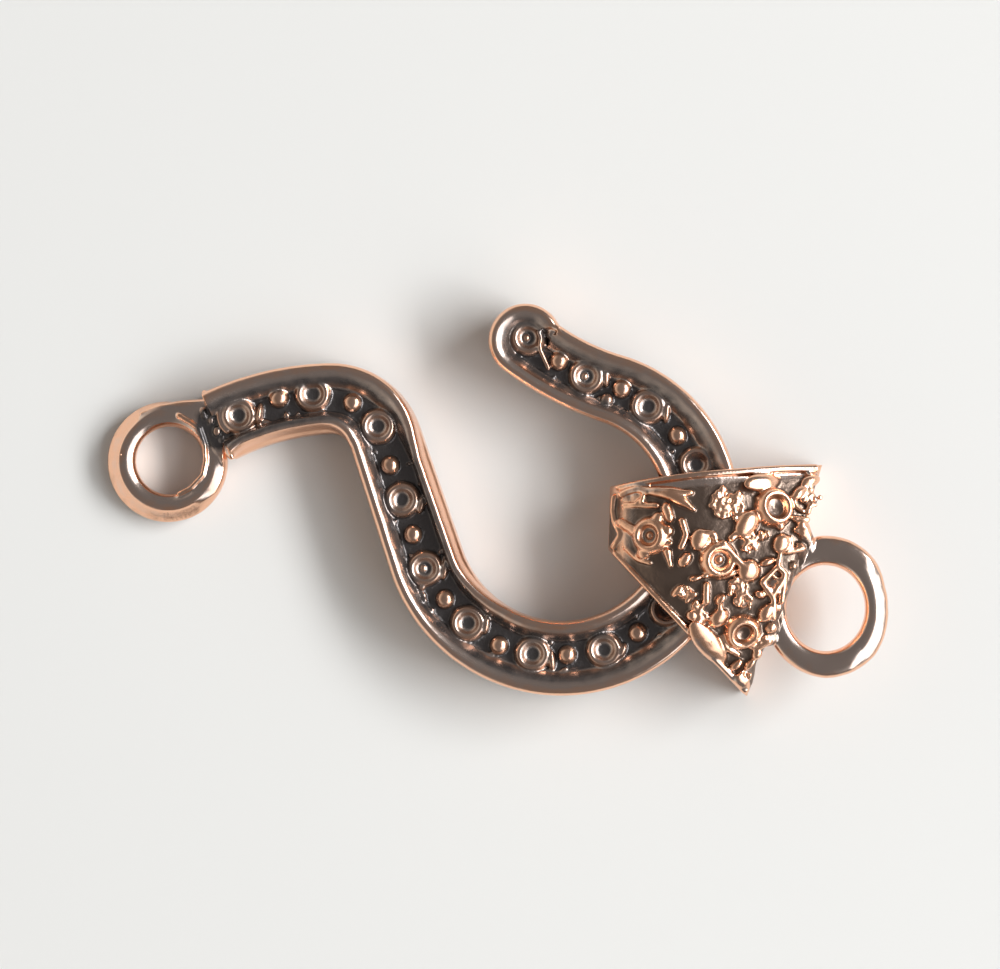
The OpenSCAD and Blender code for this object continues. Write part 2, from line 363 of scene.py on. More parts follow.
hook_wax.ring(
    (RING_X, RING_Y), lambda angle: RING_HOLE_R, lambda angle: 3.03 - 0.12 * math.cos(angle - 0.5),
    blended([
        (0, ROUND_TOP), (100, ROUND_TOP), (135, BEVELLED), (300, BEVELLED), (325, SLOPED_OUT),
        (350, SLOPED_OUT), (360, ROUND_TOP),
    ]), 0.0,
)
# the lip: aside from the ring's middle, and height
hook_wax.wire(
    np.array([
        (0.5, 2.28, 1.31), (1.1, 1.93, 1.37), (1.56, 1.58, 1.37), (1.82, 0.78, 1.34),
        (1.87, 0.0, 1.32), (1.72, -0.72, 1.3), (1.12, -1.36, 1.24), (0.5, -1.7, 1.16),
    ]) + [RING_X, RING_Y, 0.0], 0.13,
)

# strap: a flat web from the ring's upper side to the end of the band, rounded along its top edge
rings = []
for u in np.linspace(0, 1, 24):
    x = np.interp(u, (0, 1), (-17.9, -13.7))
    high = np.interp(
        x, (-17.9, -16.9, -15.85, -14.85, -14.4, -13.7), (4.4, 4.75, 4.93, 5.0, 5.05, 5.0),
    )
    low = RING_Y + math.sqrt(max(RING_R**2 - (min(x, -14.2) - RING_X) ** 2, 0.0)) * 0.9
    if x > -14.6:
        low -= (x + 14.6) * 0.9
    mid, half = (high + low) / 2, (high - low) / 2
    top = np.interp(u, (0, 1), (1.15, 1.42))
    ring = []
    for b in np.linspace(0, 2 * np.pi, 32, endpoint=False):
        c, d = math.cos(b), math.sin(b)
        c, d = math.copysign(abs(c) ** 0.4, c), math.copysign(abs(d) ** 0.7, d)
        ring.append([x, mid + half * c, 0.1 + (top - 0.1) * (0.5 + 0.5 * d)])
    rings.append(ring)
hook_wax.loft(rings)

# ends of the rim turned down at the strap, and crumbs on the step between them
for line, radius in (
    ([(-14.6, 5.33, 1.75), (-14.52, 5.0, 1.85), (-14.45, 4.65, 1.6)], 0.14),
    ([(-14.7, 4.45, 1.4), (-14.6, 4.05, 1.4)], 0.12),
    ([(-13.5, 2.75, 1.6), (-13.45, 2.3, 1.75), (-13.2, 2.05, 1.9)], 0.15),
):
    hook_wax.wire(line, radius)
for x, y, size in ((-14.3, 3.9, 0.16), (-14.0, 3.35, 0.2), (-13.75, 2.95, 0.13)):
    hook_wax.shot((size, size * 1.4, size), flat_place(x, y, 1.4))


SKIN_GRAIN = 0.05


def cast(name, wax, faces, smooth):
    """Casts the wax in one piece: a single closed skin, softened, then thinned to its faces."""
    mesh = bpy.data.meshes.new(name)
    mesh.from_pydata(np.vstack(wax.points).tolist(), [], wax.faces)
    piece = bpy.data.objects.new(name, mesh)
    bpy.context.collection.objects.link(piece)
    skin = piece.modifiers.new("skin", "REMESH")
    skin.mode = "VOXEL"
    skin.voxel_size = SKIN_GRAIN
    soft = piece.modifiers.new("soft", "SMOOTH")
    soft.factor = 0.5
    soft.iterations = smooth
    bpy.context.view_layer.objects.active = piece
    piece.select_set(True)
    bpy.ops.object.modifier_apply(modifier="skin")
    bpy.ops.object.modifier_apply(modifier="soft")
    thin = piece.modifiers.new("thin", "DECIMATE")
    thin.ratio = min(1.0, faces / (2 * len(piece.data.polygons)))
    bpy.ops.object.modifier_apply(modifier="thin")
    piece.select_set(False)
    piece.data.polygons.foreach_set("use_smooth", np.ones(len(piece.data.polygons), bool))
    return piece


def write_mark(piece, name, values):
    """Keeps one number for each point of the piece, for its material to read."""
    layer = piece.data.attributes.new(name, "FLOAT", "POINT")
    layer.data.foreach_set("value", np.asarray(values, np.float32))


def ripple(at, length):
    """Smooth irregularity with ripples about length mm long, mostly between -1 and 1."""
    luck = np.random.default_rng(11)
    total = np.zeros(len(at))
    for _ in range(24):
        way = luck.normal(size=3)
        way *= 2 * math.pi / (length * luck.uniform(0.7, 1.5)) / np.linalg.norm(way)
        total += np.sin(at @ way + luck.uniform(0, 2 * math.pi))
    return total / 6


def points_of(piece):
    """The piece's points as rows of x, y and z."""
    at = np.empty(3 * len(piece.data.vertices))
    piece.data.vertices.foreach_get("co", at)
    return at.reshape(-1, 3)


SOFTENINGS = 12


def mark_wear(piece, deep, pitted, handled, rubbing):
    """Marks the dark and the pitted ground, and how rubbed each point is.

    It is rubbed most where it stands proud of the skin round it or is steep, and wherever it is
    handled; rubbing says how far the first two reach the metal.
    """
    mesh = piece.data
    at = points_of(piece)
    n = len(at)
    normal = np.empty(3 * n)
    mesh.vertex_normals.foreach_get("vector", normal)
    normal = normal.reshape(-1, 3)
    ends = np.empty(2 * len(mesh.edges), int)
    mesh.edges.foreach_get("vertices", ends)
    a, b = ends.reshape(-1, 2).T
    weight = 1 / (np.linalg.norm(at[a] - at[b], axis=1) + 1e-6)
    total = np.bincount(a, weight, n) + np.bincount(b, weight, n)
    soft = at.copy()
    for _ in range(SOFTENINGS):
        moved = np.empty_like(soft)
        for k in range(3):
            moved[:, k] = np.bincount(a, weight * soft[b, k], n)
            moved[:, k] += np.bincount(b, weight * soft[a, k], n)
        soft = 0.3 * soft + 0.7 * moved / total[:, None]
    proud = ((at - soft) * normal).sum(1)
    steep = np.clip((0.8 - np.abs(normal[:, 2])) / 0.12, 0, 1)
    write_mark(piece, "deep", deep)
    write_mark(piece, "pitted", pitted)
    write_mark(piece, "handled", handled)
    write_mark(piece, "worn", (np.clip((proud - 0.006) / 0.03, 0, 1) + steep) * rubbing + handled)


def dulled_low(at):
    """Darker colour on the lowest part of the walls and on the back, fading out by 0.9 mm up."""
    return 0.4 * np.clip((0.9 - at[:, 2]) / 0.7, 0, 1)


def roughen(piece, amount, length):
    """Lets the skin wander in and out by amount, as a casting from hand-carved wax does."""
    at = points_of(piece)
    normal = np.empty(3 * len(at))
    piece.data.vertex_normals.foreach_get("vector", normal)
    at += normal.reshape(-1, 3) * (amount * ripple(at, length))[:, None]
    piece.data.vertices.foreach_set("co", at.ravel())
    piece.data.update()


def move_points(piece, change):
    """Puts the piece's points where change says, in metres."""
    piece.data.vertices.foreach_set("co", (change(points_of(piece)) * MM).ravel())
    piece.data.update()


HOOK_LEAN = math.radians(2.2)
REST_X = RING_X - RING_R


def lean(at):
    """The hook leans up from its end ring, which rests on the table, to the eye."""
    x, z = at[:, 0] - REST_X, at[:, 2] - WIRE_R
    c, s = math.cos(HOOK_LEAN), math.sin(HOOK_LEAN)
    return np.c_[x * c - z * s + REST_X, at[:, 1], x * s + z * c + WIRE_R] + TO_BOX_MIDDLE


def place_in_band(at):
    """How far each point lies inside the band's outline, minus outside it."""
    inside = np.zeros(len(at))
    for k in range(0, len(at), 4000):
        part = at[k : k + 4000, None, :2] - stations[None, 1:, 1:3]
        away = np.sqrt((part**2).sum(2)) - stations[None, 1:, 4]
        inside[k : k + 4000] = -away.min(1)
    in_tip = TIP_R - np.hypot(at[:, 0] - tip_x, at[:, 1] - tip_y)
    return np.maximum(inside, in_tip)


hook = cast("hook_casting", hook_wax, 190000, 5)
at = points_of(hook)
inside = place_in_band(at)
in_channel = np.clip((inside - 0.45) / 0.3, 0, 1) * (at[:, 2] > 1.2)
roughen(hook, 0.004 + 0.007 * in_channel, 0.9)
ground = in_channel * np.clip((1.62 - at[:, 2]) / 0.12, 0, 1)
slope = in_channel * np.clip((1.2 - inside) / 0.25, 0, 1)
raised = in_channel * (1 - ground) * (1 - slope)
beads = np.array([FIRST_BEAD] + [on_band(*place)[:2] for place in ORNAMENTS[3::2]])
on_bead = raised * (np.hypot(*(at[:, None, :2] - beads[None]).T).min(0) < 0.5)
dark = 0.5 * in_channel + 0.28 * slope - 0.22 * on_bead + dulled_low(at)
rubbing = 1 - 0.3 * in_channel - 0.5 * slope
mark_wear(hook, np.maximum(ground, dark), ground, 0.3 * raised, rubbing)
move_points(hook, lean)
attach(hook, "hook")
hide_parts("hook")


PATINA_FILM = (0.76, 0.62, 0.55, 1)
RUBBED_COPPER = (0.96, 0.565, 0.38, 1)


def antique_copper(name, ground_colour):
    """Copper plate under a brown film, rubbed bright where it stands proud, dark in its ground."""
    material = bpy.data.materials.new(name)
    material.use_nodes = True
    nodes, links = material.node_tree.nodes, material.node_tree.links
    shader = nodes["Principled BSDF"]

    def node(kind, **settings):
        made = nodes.new(kind)
        for key, value in settings.items():
            setattr(made, key, value)
        return made

    def span(source, low, high, to_low=0.0, to_high=1.0):
        """The source's values from low to high, spread from to_low to to_high."""
        made = node("ShaderNodeMapRange")
        ends = {"From Min": low, "From Max": high, "To Min": to_low, "To Max": to_high}
        for key, value in ends.items():
            made.inputs[key].default_value = value
        links.new(source, made.inputs["Value"])
        return made.outputs["Result"]

    def sums(operation, first, second):
        made = node("ShaderNodeMath", operation=operation)
        for k, source in enumerate((first, second)):
            if isinstance(source, (int, float)):
                made.inputs[k].default_value = source
            else:
                links.new(source, made.inputs[k])
        return made.outputs["Value"]

    def noise(scale, detail):
        made = node("ShaderNodeTexNoise")
        made.inputs["Scale"].default_value = scale
        made.inputs["Detail"].default_value = detail
        links.new(place.outputs["Object"], made.inputs["Vector"])
        return made.outputs["Fac"]

    def mixed(share, first, second):
        made = node("ShaderNodeMix", data_type="RGBA")
        links.new(share, made.inputs[0])
        for k, source in ((6, first), (7, second)):
            if isinstance(source, tuple):
                made.inputs[k].default_value = source
            else:
                links.new(source, made.inputs[k])
        return made.outputs[2]

    def mark(name):
        return node("ShaderNodeAttribute", attribute_name=name).outputs["Fac"]

    def bump(height, strength):
        made = node("ShaderNodeBump")
        made.inputs["Strength"].default_value = strength
        made.inputs["Distance"].default_value = 0.00005
        links.new(height, made.inputs["Height"])
        return made

    place = node("ShaderNodeTexCoord")
    blotch = sums("MULTIPLY", sums("SUBTRACT", noise(1400, 3), 0.5), 0.7)
    rubbed = span(sums("ADD", mark("worn"), blotch), 0.12, 0.88)
    film = mixed(rubbed, PATINA_FILM, RUBBED_COPPER)
    ground = span(sums("ADD", mark("deep"), blotch), 0.1, 0.9)
    dull = span(ground, 0.0, 1.0, 0.2, 0.28)
    links.new(mixed(ground, film, ground_colour), shader.inputs["Base Color"])
    links.new(span(ground, 0.0, 1.0, 1.0, 0.8), shader.inputs["Metallic"])
    links.new(sums("ADD", dull, sums("MULTIPLY", mark("handled"), 0.07)), shader.inputs["Roughness"])
    skin = bump(noise(2200, 2), 0.12)
    pits = bump(sums("MULTIPLY", noise(5200, 2), mark("pitted")), 0.8)
    links.new(skin.outputs["Normal"], pits.inputs["Normal"])
    links.new(pits.outputs["Normal"], shader.inputs["Normal"])
    return material


hook.data.materials.append(antique_copper("hook antique copper", (0.13, 0.12, 0.12, 1)))


# The eye: the second casting, a shield folded over the hook as a flat loop, with a round wire ring
# on its square end. Its sides are smooth rims, and its front between them is a dark ground packed
# with rings, beads and grains of metal.

# where its nose lies and which way its middle line runs
EYE_X, EYE_Y = 5.6, -1.08
EYE_TURN = math.radians(-20)
# its length, and the radius of its nose seen from the side
SHIELD_L = 9.6
NOSE_R = 1.9
# how far the nose is cut at a slant, for each mm aside
NOSE_SLANT = 0.33
# depth of the ground below the rims
GROUND = 0.3
# height of the front along the middle line
FRONT_LINE = [
    (0.0, 3.0), (0.35, 3.5), (1.2, 4.08), (2.2, 4.58), (3.0, 4.83), (3.7, 4.97), (4.4, 5.04),
    (5.1, 5.0), (6.0, 4.86), (7.5, 4.57), (9.35, 4.2), (9.9, 4.1),
]


def upper_side(s):
    """How far aside the upper side lies from the middle line, s along it from the nose."""
    return 1.59 + 0.584 * s - 0.0102 * s**2


def lower_side(s):
    """The same for the lower side."""
    return -1.39 - 0.576 * s + 0.0106 * s**2


def shaped_ends(s, t):
    """Distance along with the square end drawn in towards its corners and the nose slanted."""
    drawn = np.interp(
        t, (-5.9, -5.0, -4.2, -3.0, 0.0, 3.0, 4.6, 6.1), (0.1, 0.1, 0.28, 0.1, 0, 0.3, 0.5, 0.5),
    )
    return s - drawn * np.clip((s - 6) / 3.6, 0, 1) - NOSE_SLANT * t * (1 - s / SHIELD_L)


def droop(t):
    """How far the front falls away from the middle line towards the sides."""
    return t**2 / 20


def front_z(s, t):
    """Height of the shield's front at the level of its rims; its nose is cut at a slant."""
    straight = (s + NOSE_SLANT * t) / (1 + NOSE_SLANT * t / SHIELD_L)
    return np.interp(straight, *zip(*FRONT_LINE)) - droop(t)


# side view of the loop's outside, from the back round the nose and over the front, and of the
# tunnel that the hook runs through
OUTSIDE = [(9.35, 0.0), (7.0, 0.0), (4.0, 0.0), (NOSE_R, 0.0)]
OUTSIDE += [
    (NOSE_R + NOSE_R * math.cos(a), NOSE_R + NOSE_R * math.sin(a) * (1.0 if a > math.pi else 1.14))
    for a in np.radians(np.arange(261, 125, -9))
]
OUTSIDE += [(s, z - GROUND) for s, z in FRONT_LINE[3:-1]]
OUTSIDE += [(SHIELD_L, 3.6), (SHIELD_L, 2.0), (SHIELD_L, 0.25)]
TUNNEL = [(7.2, 0.8), (1.7, 0.8), (1.25, 1.3), (1.25, 2.4), (2.2, 3.6), (7.2, 3.6)]
TUNNEL_MIDDLE = np.array([4.4, 2.2])


def round_the_loop(loop, count):
    """The loop's points on evenly spaced rays from the middle of the tunnel."""
    ends = np.array(loop + loop[:1])
    steps = np.linspace(0, 1, 60)[:-1, None]
    line = np.vstack([a + (b - a) * u for a, b in zip(ends, ends[1:]) for u in steps])
    away = line - TUNNEL_MIDDLE
    ray = np.arctan2(away[:, 1], away[:, 0])
    order = np.argsort(ray)
    wanted = np.linspace(-np.pi, np.pi, count, endpoint=False)
    reach = np.interp(wanted, ray[order], np.hypot(*away.T)[order], period=2 * np.pi)
    return TUNNEL_MIDDLE + np.c_[reach * np.cos(wanted), reach * np.sin(wanted)]


def across_shield(s, v):
    """How far aside a point lies, v running from 0 at the lower side to 1 at the upper."""
    return lower_side(s) + v * (upper_side(s) - lower_side(s))


# the loop: a closed band of skin outside and one inside, joined along both of its sides
eye_wax = Wax()
AROUND, ACROSS = 160, 48
skins = []
for loop, inner in ((OUTSIDE, False), (TUNNEL, True)):
    profile = round_the_loop(loop, AROUND)
    for v in np.linspace(0, 1, ACROSS):
        s, z = profile[:, 0], profile[:, 1]
        t = across_shield(s, v)
        fall = np.maximum(droop(t) - 0.85, 0) if inner else droop(t)
        skins.append(np.c_[shaped_ends(s, t), t, z - fall * np.clip((z - 0.8) / 3, 0, 1)])
n = AROUND * ACROSS
faces = []
for i in range(AROUND):
    j = (i + 1) % AROUND
    for k in range(ACROSS - 1):
        lo, hi = k * AROUND, (k + 1) * AROUND
        faces.append((lo + i, lo + j, hi + j, hi + i))
        faces.append((n + lo + j, n + lo + i, n + hi + i, n + hi + j))
    top = (ACROSS - 1) * AROUND
    faces.append((j, i, n + i, n + j))
    faces.append((top + i, top + j, n + top + j, n + top + i))
eye_wax.shell(np.vstack(skins), faces)


def on_shield(s, t, lift=0.0, tipped=0.0):
    """Placer for a form on the shield's ground, lifted, and tipped towards the square end."""
    step = 0.05
    z = front_z(s, t) - GROUND
    along = np.array([2 * step, 0, front_z(s + step, t) - front_z(s - step, t)])
    aside = np.array([0, 2 * step, front_z(s, t + step) - front_z(s, t - step)])
    along /= np.linalg.norm(along)
    out = np.cross(along, aside)
    out /= np.linalg.norm(out)
    aside = np.cross(out, along)
    c, n = math.cos(math.radians(tipped)), math.sin(math.radians(tipped))
    along, out = along * c - out * n, out * c + along * n
    foot = np.array([s, t, z]) + out * lift
    return lambda ring: foot + ring[:, :1] * along + ring[:, 1:2] * aside + ring[:, 2:] * out


def laid_wire(places, radius, lift=0.1):
    """Wire laid on the shield's ground through places along and aside."""
    places = np.array(places, float)
    knots = np.arange(len(places))
    fine = np.linspace(0, len(places) - 1, 8 * len(places))
    s, t = np.interp(fine, knots, places[:, 0]), np.interp(fine, knots, places[:, 1])
    for _ in range(3):
        s[1:-1] = (s[:-2] + s[1:-1] * 2 + s[2:]) / 4
        t[1:-1] = (t[:-2] + t[1:-1] * 2 + t[2:]) / 4
    z = np.array([front_z(a, b) for a, b in zip(s, t)]) - GROUND + lift
    if np.ndim(radius):
        radius = np.interp(fine, knots, radius)
    eye_wax.wire(np.c_[s, t, z], radius)


# smooth rims along the sides, and the two smooth leaves that lie along them
for side, inward in ((upper_side, -1), (lower_side, 1)):
    s = np.linspace(0.3, 9.35, 70)
    wide = np.interp(s, (0.3, 2.5, 5.5, 8.5, 9.35), (0.13, 0.16, 0.18, 0.2, 0.24))
    t = side(s) + inward * wide * 0.9
    along = shaped_ends(s, t)
    eye_wax.wire(np.c_[along, t, front_z(along, t) - 0.16], wide, sides=16)
for s, t, long, broad, high, turn, tipped in (
    (6.4, 4.3, 1.1, 0.46, 0.26, 29, 15), (6.6, -4.0, 1.55, 0.6, 0.3, -31, 9),
    (8.7, 5.2, 0.6, 0.3, 0.25, 40, 10), (8.9, -5.25, 0.6, 0.35, 0.25, -30, 10),
):
    eye_wax.shot((long, broad, high), on_shield(s, t, 0.16, tipped), math.radians(turn))

# raised rings: crest radius and height of each, and the bead in its hole
for s, t, crest, tall, bead in (
    (2.15, -0.02, 0.66, 0.42, 0.22), (5.7, 0.01, 0.66, 0.44, 0.26), (7.46, 3.37, 0.72, 0.5, 0.0),
    (8.08, -2.94, 0.64, 0.46, 0.0),
):
    profile = [
        (0.05, -0.3), (crest + 0.34, -0.3), (crest + 0.32, 0.0), (crest + 0.24, tall * 0.45),
        (crest + 0.14, tall * 0.8), (crest + 0.03, tall), (crest - 0.09, tall * 0.95),
        (crest - 0.19, tall * 0.6), (crest - 0.27, tall * 0.2), (0.05, 0.0),
    ]
    eye_wax.lathe(profile, on_shield(s, t, 0.0, 7.0 if s > 4 else 0.0))
    if bead:
        eye_wax.shot((bead, bead, 0.24), on_shield(s, t))


def tipping(s):
    """Degrees that a form is tipped towards the square end: none on the nose."""
    return 17 * np.clip(s - 3.4, 0, 1)


# beads: place, two radii, height and turn in degrees
for s, t, a, b, high, turn in (
    (4.48, 0.62, 0.5, 0.56, 0.42, 0), (4.13, -0.56, 0.27, 0.42, 0.36, -20),
    (7.27, 0.01, 0.58, 0.56, 0.45, 0), (6.4, 2.15, 0.82, 0.52, 0.5, 66),
    (8.34, 1.81, 0.44, 0.52, 0.42, -20), (7.99, 0.75, 0.18, 0.42, 0.36, -50),
    (6.4, -1.77, 0.18, 0.32, 0.36, -20), (6.67, -2.66, 0.42, 0.52, 0.44, -20),
    (8.81, -1.63, 0.36, 0.52, 0.42, -20), (8.36, 4.49, 0.28, 0.58, 0.36, -30),
    (4.89, -1.22, 0.32, 0.14, 0.3, 30), (4.31, -2.1, 0.18, 0.4, 0.32, -30),
    (5.4, -3.0, 0.3, 0.26, 0.32, 0), (5.8, -3.05, 0.24, 0.3, 0.3, 30),
    (8.33, -4.55, 0.2, 0.36, 0.3, -30), (8.94, -4.3, 0.15, 0.36, 0.3, -20),
    (9.1, -3.7, 0.25, 0.3, 0.3, 0), (2.16, -0.95, 0.36, 0.3, 0.34, 20),
    (1.35, -0.06, 0.34, 0.26, 0.34, 0), (2.85, 0.5, 0.3, 0.26, 0.34, 0),
    (2.2, 0.9, 0.28, 0.3, 0.3, 0), (8.2, -0.9, 0.3, 0.2, 0.3, 0), (9.0, 3.0, 0.25, 0.3, 0.3, 0),
    (8.0, 2.6, 0.2, 0.2, 0.26, 0), (6.5, 3.5, 0.14, 0.14, 0.26, 0),
    (5.3, -0.95, 0.2, 0.12, 0.26, 20), (7.3, 1.8, 0.16, 0.2, 0.24, 0),
):
    place = on_shield(s, t, 0.1, tipping(s))
    eye_wax.shot((a * 1.06, b * 1.06, high * 0.82), place, math.radians(turn))

# wires and bars that join them, first on the nose, then on the front, then the lattice at the
# end: places, radius and lift
for line, radius, lift in (
    ([(0.08, 1.37), (0.38, 1.69), (0.8, 1.97), (1.32, 1.98)], 0.2, 0.15),
    ([(-0.19, 1.2), (-0.02, 0.5), (0.27, -0.02), (0.75, -0.48), (0.6, -1.2)], 0.16, 0.1),
    ([(0.4, 0.95), (1.08, 1.21), (1.97, 1.5)], 0.15, 0.08),
    ([(0.5, 0.1), (1.35, -0.06)], 0.24, 0.16),
    ([(1.1, 2.0), (2.34, 2.28), (3.35, 2.68)], (0.2, 0.34, 0.1), 0.12),
    ([(2.3, 2.25), (3.1, 2.12), (3.75, 1.9)], (0.3, 0.26, 0.08), 0.12),
    ([(2.35, 1.6), (2.75, 1.1)], 0.26, 0.14),
    ([(3.3, 1.25), (3.78, 0.62), (3.74, -0.07)], 0.17, 0.14),
    ([(3.15, -0.45), (3.58, -1.12)], (0.22, 0.1), 0.12),
    ([(1.2, -1.0), (2.0, -1.35), (2.6, -1.3)], 0.13, 0.05),
    ([(4.5, 0.7), (4.72, 1.08), (5.02, 1.12), (5.2, 0.9)], 0.18, 0.2),
    ([(7.2, 0.05), (6.8, 0.2), (6.13, 0.54), (5.6, 0.9)], (0.26, 0.2, 0.17, 0.17), 0.26),
    ([(6.15, 1.6), (5.9, 1.2)], 0.2, 0.12),
    ([(5.56, -1.34), (5.68, -1.7), (5.85, -2.2)], 0.2, 0.16),
    ([(6.45, -1.8), (6.65, -2.4)], 0.15, 0.14),
    ([(8.7, 2.3), (8.88, 2.0), (8.8, 1.5)], 0.14, 0.14),
    ([(8.81, 2.7), (9.3, 2.61)], 0.15, 0.1),
    ([(8.74, 1.5), (9.1, 1.72), (9.5, 2.0)], 0.15, 0.1),
    ([(8.12, -0.31), (8.59, 0.7), (9.09, 0.46), (8.87, -0.66)], 0.15, 0.16),
    ([(8.12, -0.31), (8.94, -0.85), (9.3, -1.8)], 0.16, 0.16),
    ([(9.09, 0.46), (9.38, -0.9)], 0.15, 0.12),
    ([(8.59, 0.7), (8.5, 1.4)], 0.13, 0.12),
    ([(8.55, 5.6), (8.85, 5.0), (8.7, 4.2)], 0.16, 0.12),
    ([(8.9, 4.9), (9.1, 4.3), (9.12, 3.7)], 0.15, 0.1),
    ([(8.6, 3.2), (9.25, 3.4)], 0.17, 0.1),
    ([(8.1, 4.2), (8.5, 3.8), (8.9, 3.7)], 0.12, 0.1),
    ([(8.7, -3.5), (9.2, -3.3), (9.5, -2.9)], 0.18, 0.1),
    ([(7.2, -3.5), (7.6, -3.95), (8.3, -4.1)], 0.14, 0.06),
    ([(6.9, -0.1), (6.3, -0.7), (5.9, -0.85)], 0.12, 0.06),
):
    laid_wire(line, radius, lift)

# patches of grains on low mounds: middle, reach, number and size of the grains
for s, t, reach, count, size in (
    (5.1, 2.7, 0.82, 60, 0.16), (6.75, 1.27, 0.5, 22, 0.13), (4.72, -2.1, 0.42, 14, 0.14),
    (6.98, -0.93, 0.5, 22, 0.14), (7.5, -1.5, 0.45, 16, 0.14), (8.9, -0.2, 0.5, 8, 0.12),
    (5.4, -2.55, 0.35, 8, 0.13), (7.4, 1.9, 0.3, 6, 0.11), (9.0, 4.4, 0.45, 10, 0.13),
    (6.0, -3.0, 0.4, 7, 0.12), (0.9, 1.5, 0.4, 6, 0.12), (3.0, 0.0, 0.3, 4, 0.12),
    (8.9, -3.0, 0.4, 8, 0.12), (8.9, -4.9, 0.3, 6, 0.12),
):
    eye_wax.shot((reach * 0.95, reach * 0.9, 0.16), on_shield(s, t, -0.02))
    for _ in range(count):
        angle, away = chance.uniform(0, 2 * math.pi), reach * math.sqrt(chance.uniform())
        grain = size * chance.uniform(0.75, 1.15)
        grain_s, grain_t = s + away * math.cos(angle), t + away * math.sin(angle)
        eye_wax.shot((grain, grain, grain * 0.75), on_shield(grain_s, grain_t, 0.18, tipping(s)))

# The eye's ring: level heavy wire, thickest at its top and with a facet along its right side, let
# into the shield's square end by webs.
EYE_RING = (11.62, -0.43)
EYE_RING_Z = 2.8
# half width and half height of its hole
EYE_HOLE = (1.95, 2.13)
# sections: how far from the hole to the outside, and height from the ring's middle
ROUND_WIRE = [
    (0.2, -0.52), (0.5, -0.62), (0.8, -0.52), (0.95, -0.3), (1.0, 0.0), (0.985, 0.25), (0.94, 0.42),
    (0.86, 0.53), (0.7, 0.6), (0.5, 0.63), (0.32, 0.61), (0.17, 0.55), (0.07, 0.42), (0.0, 0.1),
    (0.05, -0.3),
]
FACETED_WIRE = [
    (0.2, -0.52), (0.5, -0.62), (0.8, -0.52), (0.95, -0.3), (1.0, -0.05), (0.97, 0.13), (0.89, 0.24),
    (0.75, 0.36), (0.61, 0.47), (0.5, 0.54), (0.32, 0.57), (0.15, 0.53), (0.05, 0.37), (0.0, 0.05),
    (0.05, -0.3),
]


def eye_hole(angle):
    """Reach of the hole's edge, a little taller than wide."""
    turn = angle + EYE_TURN
    return 1 / math.hypot(math.cos(turn) / EYE_HOLE[0], math.sin(turn) / EYE_HOLE[1])


def eye_ring_outside(angle):
    """Reach of the ring's outside, from its left side round by the bottom, right and top."""
    turn = (math.degrees(angle + EYE_TURN) + 180) % 360 - 180
    return np.interp(
        turn, (-180, -135, -90, -45, -20, 0, 20, 45, 70, 95, 135, 180),
        (3.0, 3.25, 3.5, 3.42, 3.22, 3.12, 3.16, 3.45, 3.6, 3.62, 3.3, 3.0),
    )


facet_from, facet_to = (turn - math.degrees(EYE_TURN) for turn in (-50 + 360, 33))
eye_wax.ring(EYE_RING, eye_hole, eye_ring_outside, blended([
    (0, FACETED_WIRE), (facet_to, FACETED_WIRE), (facet_to + 16, ROUND_WIRE),
    (facet_from - 16, ROUND_WIRE), (facet_from, FACETED_WIRE), (360, FACETED_WIRE),
]), EYE_RING_Z)
# webs: start on the square end, where each meets the ring in degrees, and radius
for start, angle, radius in (
    ((9.1, 2.9), 124, 0.42), ((9.3, 2.0), 136, 0.3), ((9.3, 1.0), 152, 0.26), ((9.3, -0.2), 172, 0.26),
    ((9.3, -1.2), 192, 0.28), ((9.3, -2.3), 214, 0.36), ((9.2, -3.0), 232, 0.36),
):
    first = np.array([*start, front_z(*start) - 0.35])
    turn = math.radians(angle)
    on_ring = (EYE_RING[0] + 2.6 * math.cos(turn), EYE_RING[1] + 2.6 * math.sin(turn))
    last = np.array([*on_ring, EYE_RING_Z + 0.12])
    eye_wax.wire([first + (last - first) * u for u in np.linspace(0, 1, 8)], radius)

eye_casting = cast("eye_casting", eye_wax, 180000, 7)
at = points_of(eye_casting)
below_rim = front_z(at[:, 0], at[:, 1]) - at[:, 2]
inside = np.minimum(upper_side(at[:, 0]) - at[:, 1], at[:, 1] - lower_side(at[:, 0]))
in_relief = (below_rim < 0.8) * np.clip((inside - 0.3) / 0.2, 0, 1) * (at[:, 0] < 9.8)
roughen(eye_casting, 0.004 + 0.009 * in_relief, 0.8)
ground = in_relief * np.clip((below_rim - 0.12) / 0.14, 0, 1)
on_nose = np.clip((1.0 - at[:, 0] - NOSE_SLANT * at[:, 1]) / 0.4, 0, 1) * (at[:, 2] > 1.0)
handled = np.maximum(0.85 * in_relief * (1 - ground), 0.7 * on_nose)
mark_wear(eye_casting, np.maximum(ground, dulled_low(at)), 0.5 * ground, handled, 1 - 0.6 * ground)


def turn_eye(at):
    """From the eye's own lengths along and aside to its place on the table."""
    c, s = math.cos(EYE_TURN), math.sin(EYE_TURN)
    x = EYE_X + at[:, 0] * c - at[:, 1] * s
    y = EYE_Y + at[:, 0] * s + at[:, 1] * c
    return np.c_[x, y, at[:, 2]] + TO_BOX_MIDDLE


move_points(eye_casting, turn_eye)
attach(eye_casting, "eye")
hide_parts("eye")
eye_casting.data.materials.append(antique_copper("eye antique copper", (0.20, 0.145, 0.115, 1)))


# The floor: a plain pale sheet that the clasp lies on.

bpy.ops.mesh.primitive_plane_add(size=4.0)
floor = bpy.context.object
floor.name = "floor"
paper = bpy.data.materials.new("pale paper")
paper.use_nodes = True
sheet = paper.node_tree.nodes["Principled BSDF"]
sheet.inputs["Base Color"].default_value = (0.84, 0.85, 0.84, 1)
sheet.inputs["Roughness"].default_value = 0.9
floor.data.materials.append(paper)

# Light: a wide soft window on the right with a brighter patch of sky in it, and a dim room with a
# pale wall low on the left.

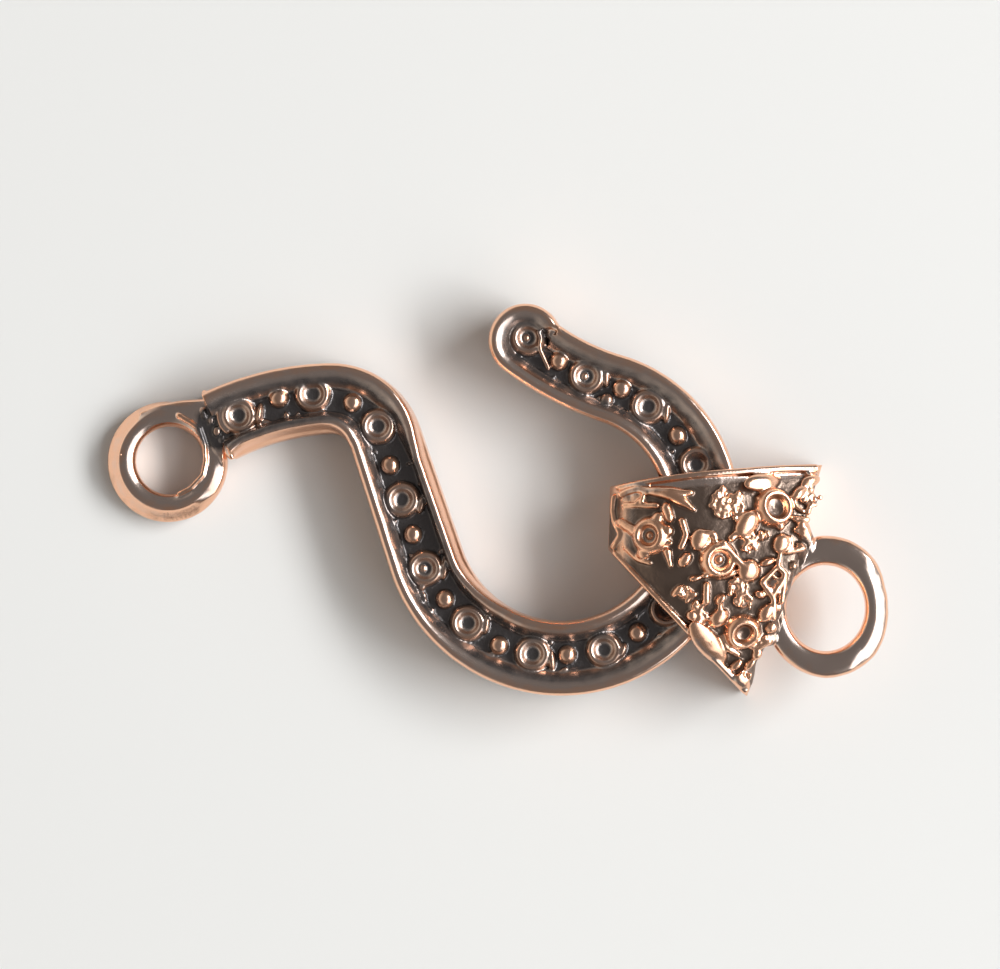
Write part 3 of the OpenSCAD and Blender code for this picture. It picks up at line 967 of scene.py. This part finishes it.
world = bpy.data.worlds.new("room")
bpy.context.scene.world = world
world.use_nodes = True
nodes, links = world.node_tree.nodes, world.node_tree.links
back = nodes["Background"]
place = nodes.new("ShaderNodeTexCoord")
parts = nodes.new("ShaderNodeSeparateXYZ")
links.new(place.outputs["Generated"], parts.inputs["Vector"])


def fading(source, first, last):
    """None at the first value of the source and all at the last."""
    made = nodes.new("ShaderNodeMapRange")
    made.inputs["From Min"].default_value = first
    made.inputs["From Max"].default_value = last
    links.new(source, made.inputs["Value"])
    return made.outputs["Result"]


DIM_ROOM = (0.175, 0.165, 0.16, 1)
PALE_WALL = (0.95, 0.87, 0.76, 1)
wall = nodes.new("ShaderNodeMath")
wall.operation = "MULTIPLY"
links.new(fading(parts.outputs["Z"], 0.75, 0.25), wall.inputs[0])
links.new(fading(parts.outputs["X"], -0.2, -0.75), wall.inputs[1])
around = nodes.new("ShaderNodeMix")
around.data_type = "RGBA"
around.inputs[6].default_value = DIM_ROOM
around.inputs[7].default_value = PALE_WALL
links.new(wall.outputs["Value"], around.inputs[0])
links.new(around.outputs[2], back.inputs["Color"])


def soft_lamp(name, wide, high, watts, place):
    """Rectangle of light that faces the clasp."""
    light = bpy.data.lights.new(name, "AREA")
    light.shape = "RECTANGLE"
    light.size = wide
    light.size_y = high
    light.energy = watts
    lamp = bpy.data.objects.new(name, light)
    bpy.context.collection.objects.link(lamp)
    lamp.location = place
    lamp.rotation_euler = (-lamp.location).to_track_quat("-Z", "Y").to_euler()


soft_lamp("window", 1.7, 0.8, 7.6, (0.83, -0.14, 0.61))
soft_lamp("patch of sky", 1.0, 0.25, 10.8, (0.834, 0.088, 0.545))

# Camera: straight above, framed as the photograph is. The picture is 50 mm wide at 2 mm above the
# floor, about as high as the hook's rims.

CAMERA_ABOVE = 0.25
PICTURE_WIDE = 0.05
camera = bpy.data.cameras.new("camera")
camera.sensor_width = 36
camera.lens = camera.sensor_width * CAMERA_ABOVE / PICTURE_WIDE
camera.clip_start = 0.01
viewpoint = bpy.data.objects.new("camera", camera)
bpy.context.collection.objects.link(viewpoint)
viewpoint.location = (0.000008, 0.000783, CAMERA_ABOVE + 0.002)
bpy.context.scene.camera = viewpoint
bpy.context.scene.view_settings.view_transform = "Standard"
